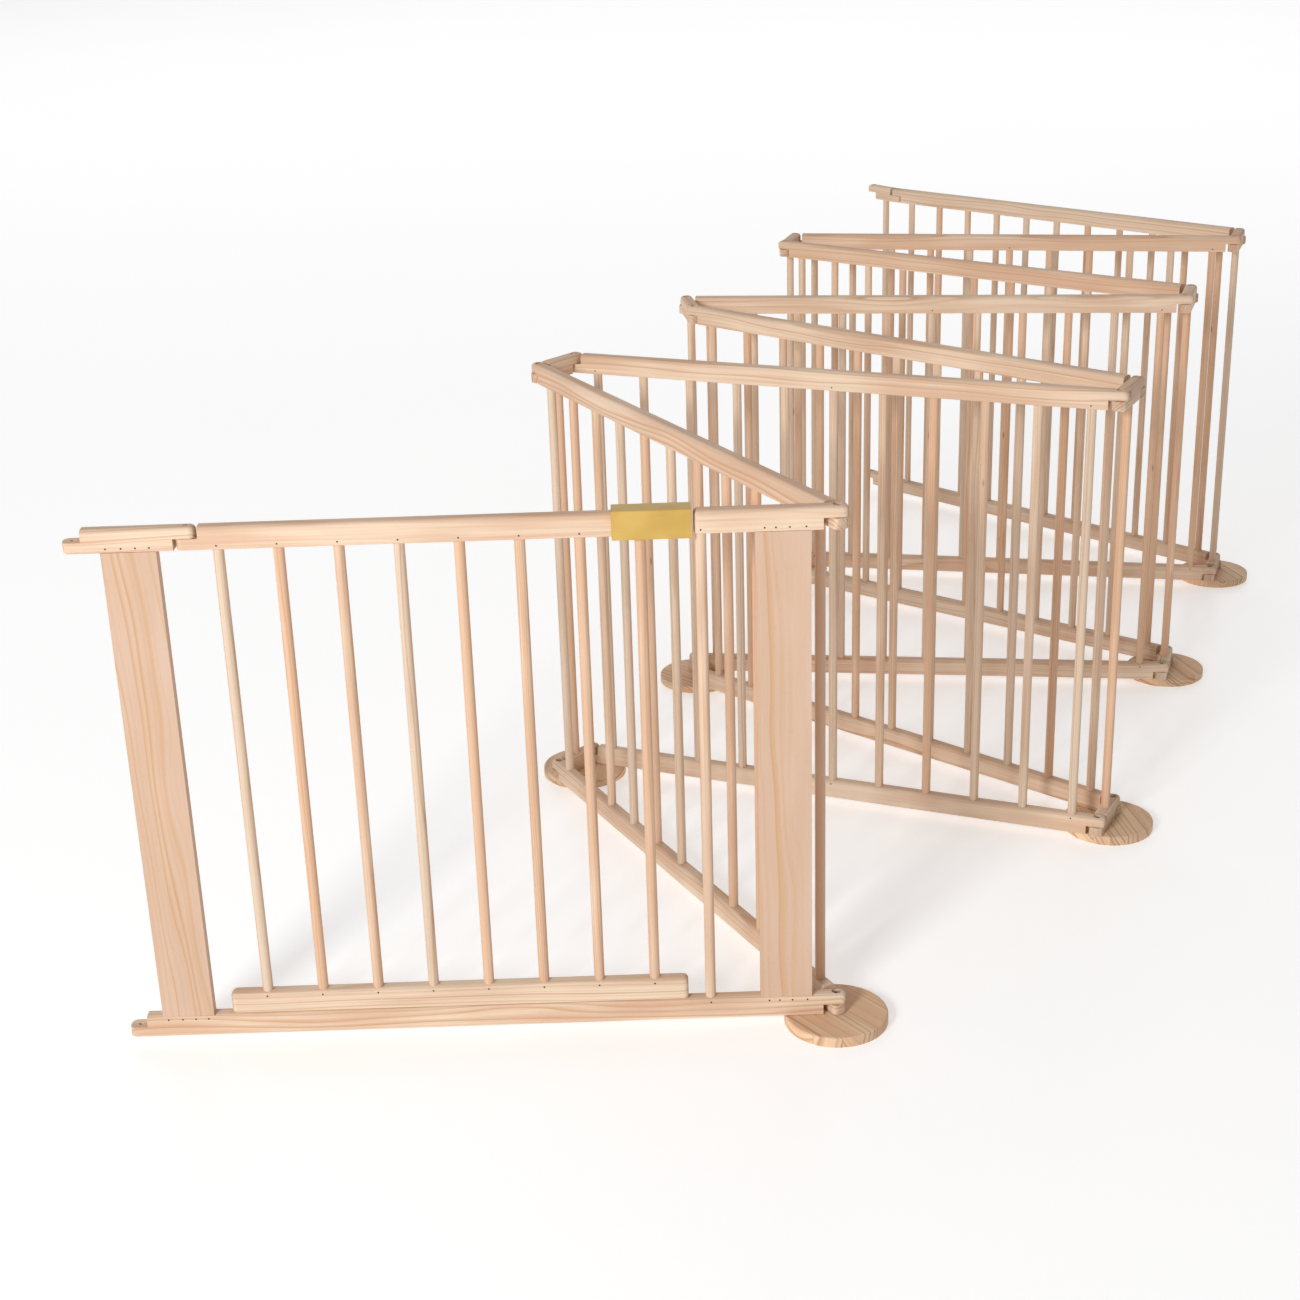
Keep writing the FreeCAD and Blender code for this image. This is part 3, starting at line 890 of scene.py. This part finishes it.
@dataclass
class BarredPanel:
    """A plain panel: two rails, eleven bars, its bolts and the nails of its end bars.

    Attributes:
        span: Where the panel stands.
        steel: Finish of its bolts.
        nail_steel: Finish of its nails.
        nailed_bars: Which bars are nailed.
    """

    span: Span
    steel: bpy.types.Material
    nail_steel: bpy.types.Material
    nailed_bars: tuple[int, ...] = (0, 5, 10)

    @property
    def first_bar(self) -> float:
        """Distance of the first bar from the first bolt in mm."""
        return (self.span.length - (PANEL_BARS - 1) * BAR_PITCH) / 2

    def build(self) -> None:
        """Dresses the panel's nodes and adds its nails."""
        name = self.span.name
        for rail in ("top_rail", "bottom_rail"):
            node = f"{name}_{rail}"
            dress(node, RAIL_PINE.material(self.span.timber(node, Cut.LENGTHWISE)))
        node = f"{name}_bars"
        dress(node, BAR_PINE.material(self.span.timber(node, Cut.UPRIGHT, BAR_PITCH, self.first_bar)))
        dress(f"{name}_bolts", self.steel)
        self._nails()

    def _nails(self) -> None:
        """Nails the end and middle bars on the right-hand face of both rails."""
        name = self.span.name
        heads = NailHeads()
        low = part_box(f"{name}_bottom_rail")[0].z + RAIL_HEIGHT - NAIL_LIFT
        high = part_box(f"{name}_top_rail")[0].z + NAIL_LIFT
        for bar in self.nailed_bars:
            along = self.first_bar + bar * BAR_PITCH
            for height in (low, high):
                place = self.span.place(along, height, -HALF_DEPTH)
                heads.drive(place, self.span.heading - math.pi / 2)
        heads.build(f"{name}_nails", name, self.nail_steel)


@dataclass
class HingeLink:
    """A link of two short rails and one bar, and its round foot if it has one.

    Attributes:
        span: Where the link stands.
        skew: Angle between the foot's glued strips and the link in radians.
    """

    span: Span
    skew: float = math.radians(35.0)

    def build(self) -> None:
        """Dresses the rails, the bar and any foot."""
        name = self.span.name
        rails = f"{name}_rails"
        low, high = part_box(rails)
        storey = (high.z - low.z - RAIL_HEIGHT) / MM
        origin = Vector((self.span.start.x, self.span.start.y, low.z + RAIL_HEIGHT / 2))
        timber = Timber(origin, self.span.heading, Cut.LENGTHWISE, rails, storey=storey)
        dress(rails, LINK_PINE.material(timber))
        bar = f"{name}_bar"
        dress(bar, BAR_PINE.material(self.span.timber(bar, Cut.UPRIGHT, BAR_PITCH, self.span.length / 2)))
        foot = name.replace("link", "foot")
        if foot in frame["nodes"]:
            dress_foot(foot, self.span.heading + self.skew)


def dress_foot(node: str, heading: float) -> None:
    """Gives a round foot the look of an edge-glued board.

    Args:
        node: The foot's name.
        heading: Direction of its strips in radians from +X.
    """
    low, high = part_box(node)
    timber = Timber((low + high) / 2, heading, Cut.LENGTHWISE, node, FOOT_STRIP, FOOT_FIRST_STRIP)
    dress(node, FOOT_PINE.material(timber))


@dataclass
class GatePanel:
    """The front panel: its fixed frame, the swinging gate and the sliding latch.

    Attributes:
        span: Where the panel stands.
        steel: Finish of its pins.
        nail_steel: Finish of its nails.
        foot_heading: Direction of the foot's glued strips in radians.
        left_tenon_nails: Nails of the left board's tenons, in mm from the panel's free bolt hole.
        right_tenon_nails: Nails of the right board's tenons, in mm from the same hole.
        fixed_bar: Place of the bar beside the right board, in mm from the same hole.
        leaf_first_bar: Place of the gate's first bar, in mm from the same hole.
        leaf_bars: Number of the gate's bars.
    """

    span: Span
    steel: bpy.types.Material
    nail_steel: bpy.types.Material
    foot_heading: float = math.radians(128.0)
    left_tenon_nails: tuple[float, ...] = (37.5, 55.5, 72.0, 88.0)
    right_tenon_nails: tuple[float, ...] = (795.0, 808.0, 824.0, 843.0)
    fixed_bar: float = 721.5
    leaf_first_bar: float = 165.0
    leaf_bars: int = 8

    def build(self) -> None:
        """Dresses the panel's nodes and adds its nails."""
        for node in ("bottom_rail", "hinge_rail", "latch_rail"):
            node = f"gate_panel_{node}"
            dress(node, RAIL_PINE.material(self.span.timber(node, Cut.LENGTHWISE)))
        for node in ("gate_top_rail", "gate_bottom_rail"):
            dress(node, RAIL_PINE.material(self.span.timber(node, Cut.LENGTHWISE)))
        for node in ("gate_panel_left_stile", "gate_panel_right_stile"):
            dress(node, BOARD_PINE.material(self._board(node)))
        leaf = self.span.timber("gate_bars", Cut.UPRIGHT, LEAF_BAR_PITCH, self.leaf_first_bar)
        dress("gate_bars", BAR_PINE.material(leaf))
        fixed = self.span.timber("gate_panel_bar", Cut.UPRIGHT, BAR_PITCH, self.fixed_bar)
        dress("gate_panel_bar", BAR_PINE.material(fixed))
        dress("gate_pins", self.steel)
        dress("latch_sleeve", Nylon().material())
        dress_foot("foot_a", self.foot_heading)
        self._nail_frame()
        self._nail_leaf()

    @staticmethod
    def _board(node: str) -> Timber:
        """An upright board with its figure centred on its own middle."""
        low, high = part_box(node)
        return Timber((low + high) / 2, 0.0, Cut.UPRIGHT, node)

    def _front(self, along: float, height: float) -> tuple[Vector, float]:
        """A point on the panel's front face and the direction in which that face looks."""
        return self.span.place(along, height, -HALF_DEPTH), self.span.heading - math.pi / 2

    def _nail_frame(self) -> None:
        """Nails the boards' tenons and the fixed bar in the panel's own rails."""
        heads = NailHeads()
        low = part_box("gate_panel_bottom_rail")[0].z + RAIL_HEIGHT - NAIL_LIFT
        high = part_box("gate_panel_latch_rail")[0].z + NAIL_LIFT
        for along in (*self.left_tenon_nails, *self.right_tenon_nails, self.fixed_bar):
            for height in (low, high):
                heads.drive(*self._front(along, height))
        heads.build("gate_panel_nails", "gate_panel", self.nail_steel)

    def _nail_leaf(self) -> None:
        """Nails every bar of the gate at both ends."""
        heads = NailHeads()
        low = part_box("gate_bottom_rail")[0].z + RAIL_HEIGHT - NAIL_LIFT
        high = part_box("gate_top_rail")[1].z - RAIL_HEIGHT + NAIL_LIFT
        for bar in range(self.leaf_bars):
            along = self.leaf_first_bar + bar * LEAF_BAR_PITCH
            for height in (low, high):
                heads.drive(*self._front(along, height))
        heads.build("gate_nails", "gate_leaf", self.nail_steel)


@dataclass(frozen=True)
class Softbox:
    """A square soft light.

    Attributes:
        name: The light's name.
        place: Where it hangs, in metres.
        target: The point that it looks at.
        size: Its side in metres.
        power: Its power in watts.
    """

    name: str
    place: tuple[float, float, float]
    target: tuple[float, float, float]
    size: float
    power: float

    def hang(self) -> None:
        """Hangs the light."""
        light = bpy.data.lights.new(self.name, "AREA")
        light.size = self.size
        light.energy = self.power
        lamp = bpy.data.objects.new(self.name, light)
        bpy.context.scene.collection.objects.link(lamp)
        lamp.location = self.place
        aim = Vector(self.target) - Vector(self.place)
        lamp.rotation_euler = aim.to_track_quat("-Z", "Y").to_euler()


KEY = Softbox("key", (-2.9, -4.4, 2.6), (0.1, 0.6, 0.3), 1.3, 206.0)
BACKGROUND = Softbox("background", (0.0, 15.0, 6.0), (0.0, 15.0, 0.0), 22.0, 1050.0)


@dataclass
class Studio:
    """Plain pale floor, soft light and the camera.

    Attributes:
        floor_size: Side of the floor in metres.
        sky: Strength of the even light from all round.
        floor_glow: Strength of the light that comes through the floor's milky panel.
        camera_place: Where the camera stands, in metres.
        yaw: How far it looks to the right of +Y, in degrees.
        pitch: How far it looks down, in degrees.
        roll: How far it is tilted, in degrees.
        lens: Focal length in mm on a 36 mm sensor.
    """

    floor_size: float = 90.0
    sky: float = 0.28
    floor_glow: float = 0.42
    camera_place: tuple[float, float, float] = (-0.2215, -2.2512, 1.4064)
    yaw: float = 0.010
    pitch: float = 21.630
    roll: float = -1.877
    lens: float = 56.876

    def build(self) -> None:
        """Builds the studio."""
        self._floor()
        self._world()
        KEY.hang()
        BACKGROUND.hang()
        self._camera()
        bpy.context.scene.view_settings.view_transform = "Standard"

    def _floor(self) -> None:
        """Lays the floor."""
        deselect()
        bpy.ops.mesh.primitive_plane_add(size=self.floor_size)
        floor = bpy.context.object
        floor.name = "floor"
        bpy.ops.object.mode_set(mode="EDIT")
        bpy.ops.mesh.subdivide(number_cuts=4)
        bpy.ops.object.mode_set(mode="OBJECT")
        recipe = Recipe("studio_floor")
        place = recipe.add("ShaderNodeTexCoord", {}, {}, "Object")
        sheen = recipe.add("ShaderNodeTexNoise", {}, {"Vector": place, "Scale": 0.8, "Detail": 1.0})
        colour = recipe.blend(sheen, (0.82, 0.82, 0.82, 1.0), (0.80, 0.80, 0.805, 1.0))
        roughness = 0.30 + sheen * 0.06
        floor.data.materials.append(
            recipe.finish(
                {
                    "Specular IOR Level": 0.35,
                    "Emission Color": (1.0, 1.0, 1.0, 1.0),
                    "Emission Strength": self.floor_glow,
                },
                {"Base Color": colour, "Roughness": roughness},
            )
        )
        log.info("floor laid")

    def _world(self) -> None:
        """Lights the studio evenly from all round."""
        world = bpy.data.worlds.new("studio")
        world.use_nodes = True
        background = world.node_tree.nodes["Background"]
        background.inputs["Color"].default_value = (1.0, 1.0, 1.0, 1.0)
        background.inputs["Strength"].default_value = self.sky
        bpy.context.scene.world = world

    def _camera(self) -> None:
        """Sets up the camera."""
        data = bpy.data.cameras.new("camera")
        data.sensor_width = 36.0
        data.lens = self.lens
        data.clip_end = 200.0
        camera = bpy.data.objects.new("camera", data)
        bpy.context.scene.collection.objects.link(camera)
        camera.location = self.camera_place
        turn = Matrix.Rotation(-math.radians(self.yaw), 3, "Z")
        tilt = Matrix.Rotation(math.radians(90.0 - self.pitch), 3, "X")
        lean = Matrix.Rotation(math.radians(self.roll), 3, "Z")
        camera.rotation_euler = (turn @ tilt @ lean).to_euler()
        bpy.context.scene.camera = camera


def spans() -> list[Span]:
    """The pieces of the zigzag in order.

    Returns:
        Each piece between its first and its last bolt.
    """
    starts = [joint_place(start) for _, start in ZIGZAG]
    ends = starts[1:] + [joint_place(ZIGZAG_END)]
    return [Span(name, start, end) for (name, _), start, end in zip(ZIGZAG, starts, ends)]


def main() -> None:
    """Builds the playpen's looks piece by piece."""
    logging.basicConfig(level=logging.INFO, format="%(name)s: %(message)s")
    bolt_steel = Steel().material()
    nail_steel = Steel("nail_steel", (0.040, 0.030, 0.024), (0.016, 0.013, 0.011), 0.1, 0.55).material()
    for span in spans():
        if span.name == "gate_panel":
            GatePanel(span, bolt_steel, nail_steel).build()
        elif span.name.startswith("panel"):
            BarredPanel(span, bolt_steel, nail_steel).build()
        else:
            HingeLink(span).build()
    Studio().build()


if __name__ == "__main__":
    main()
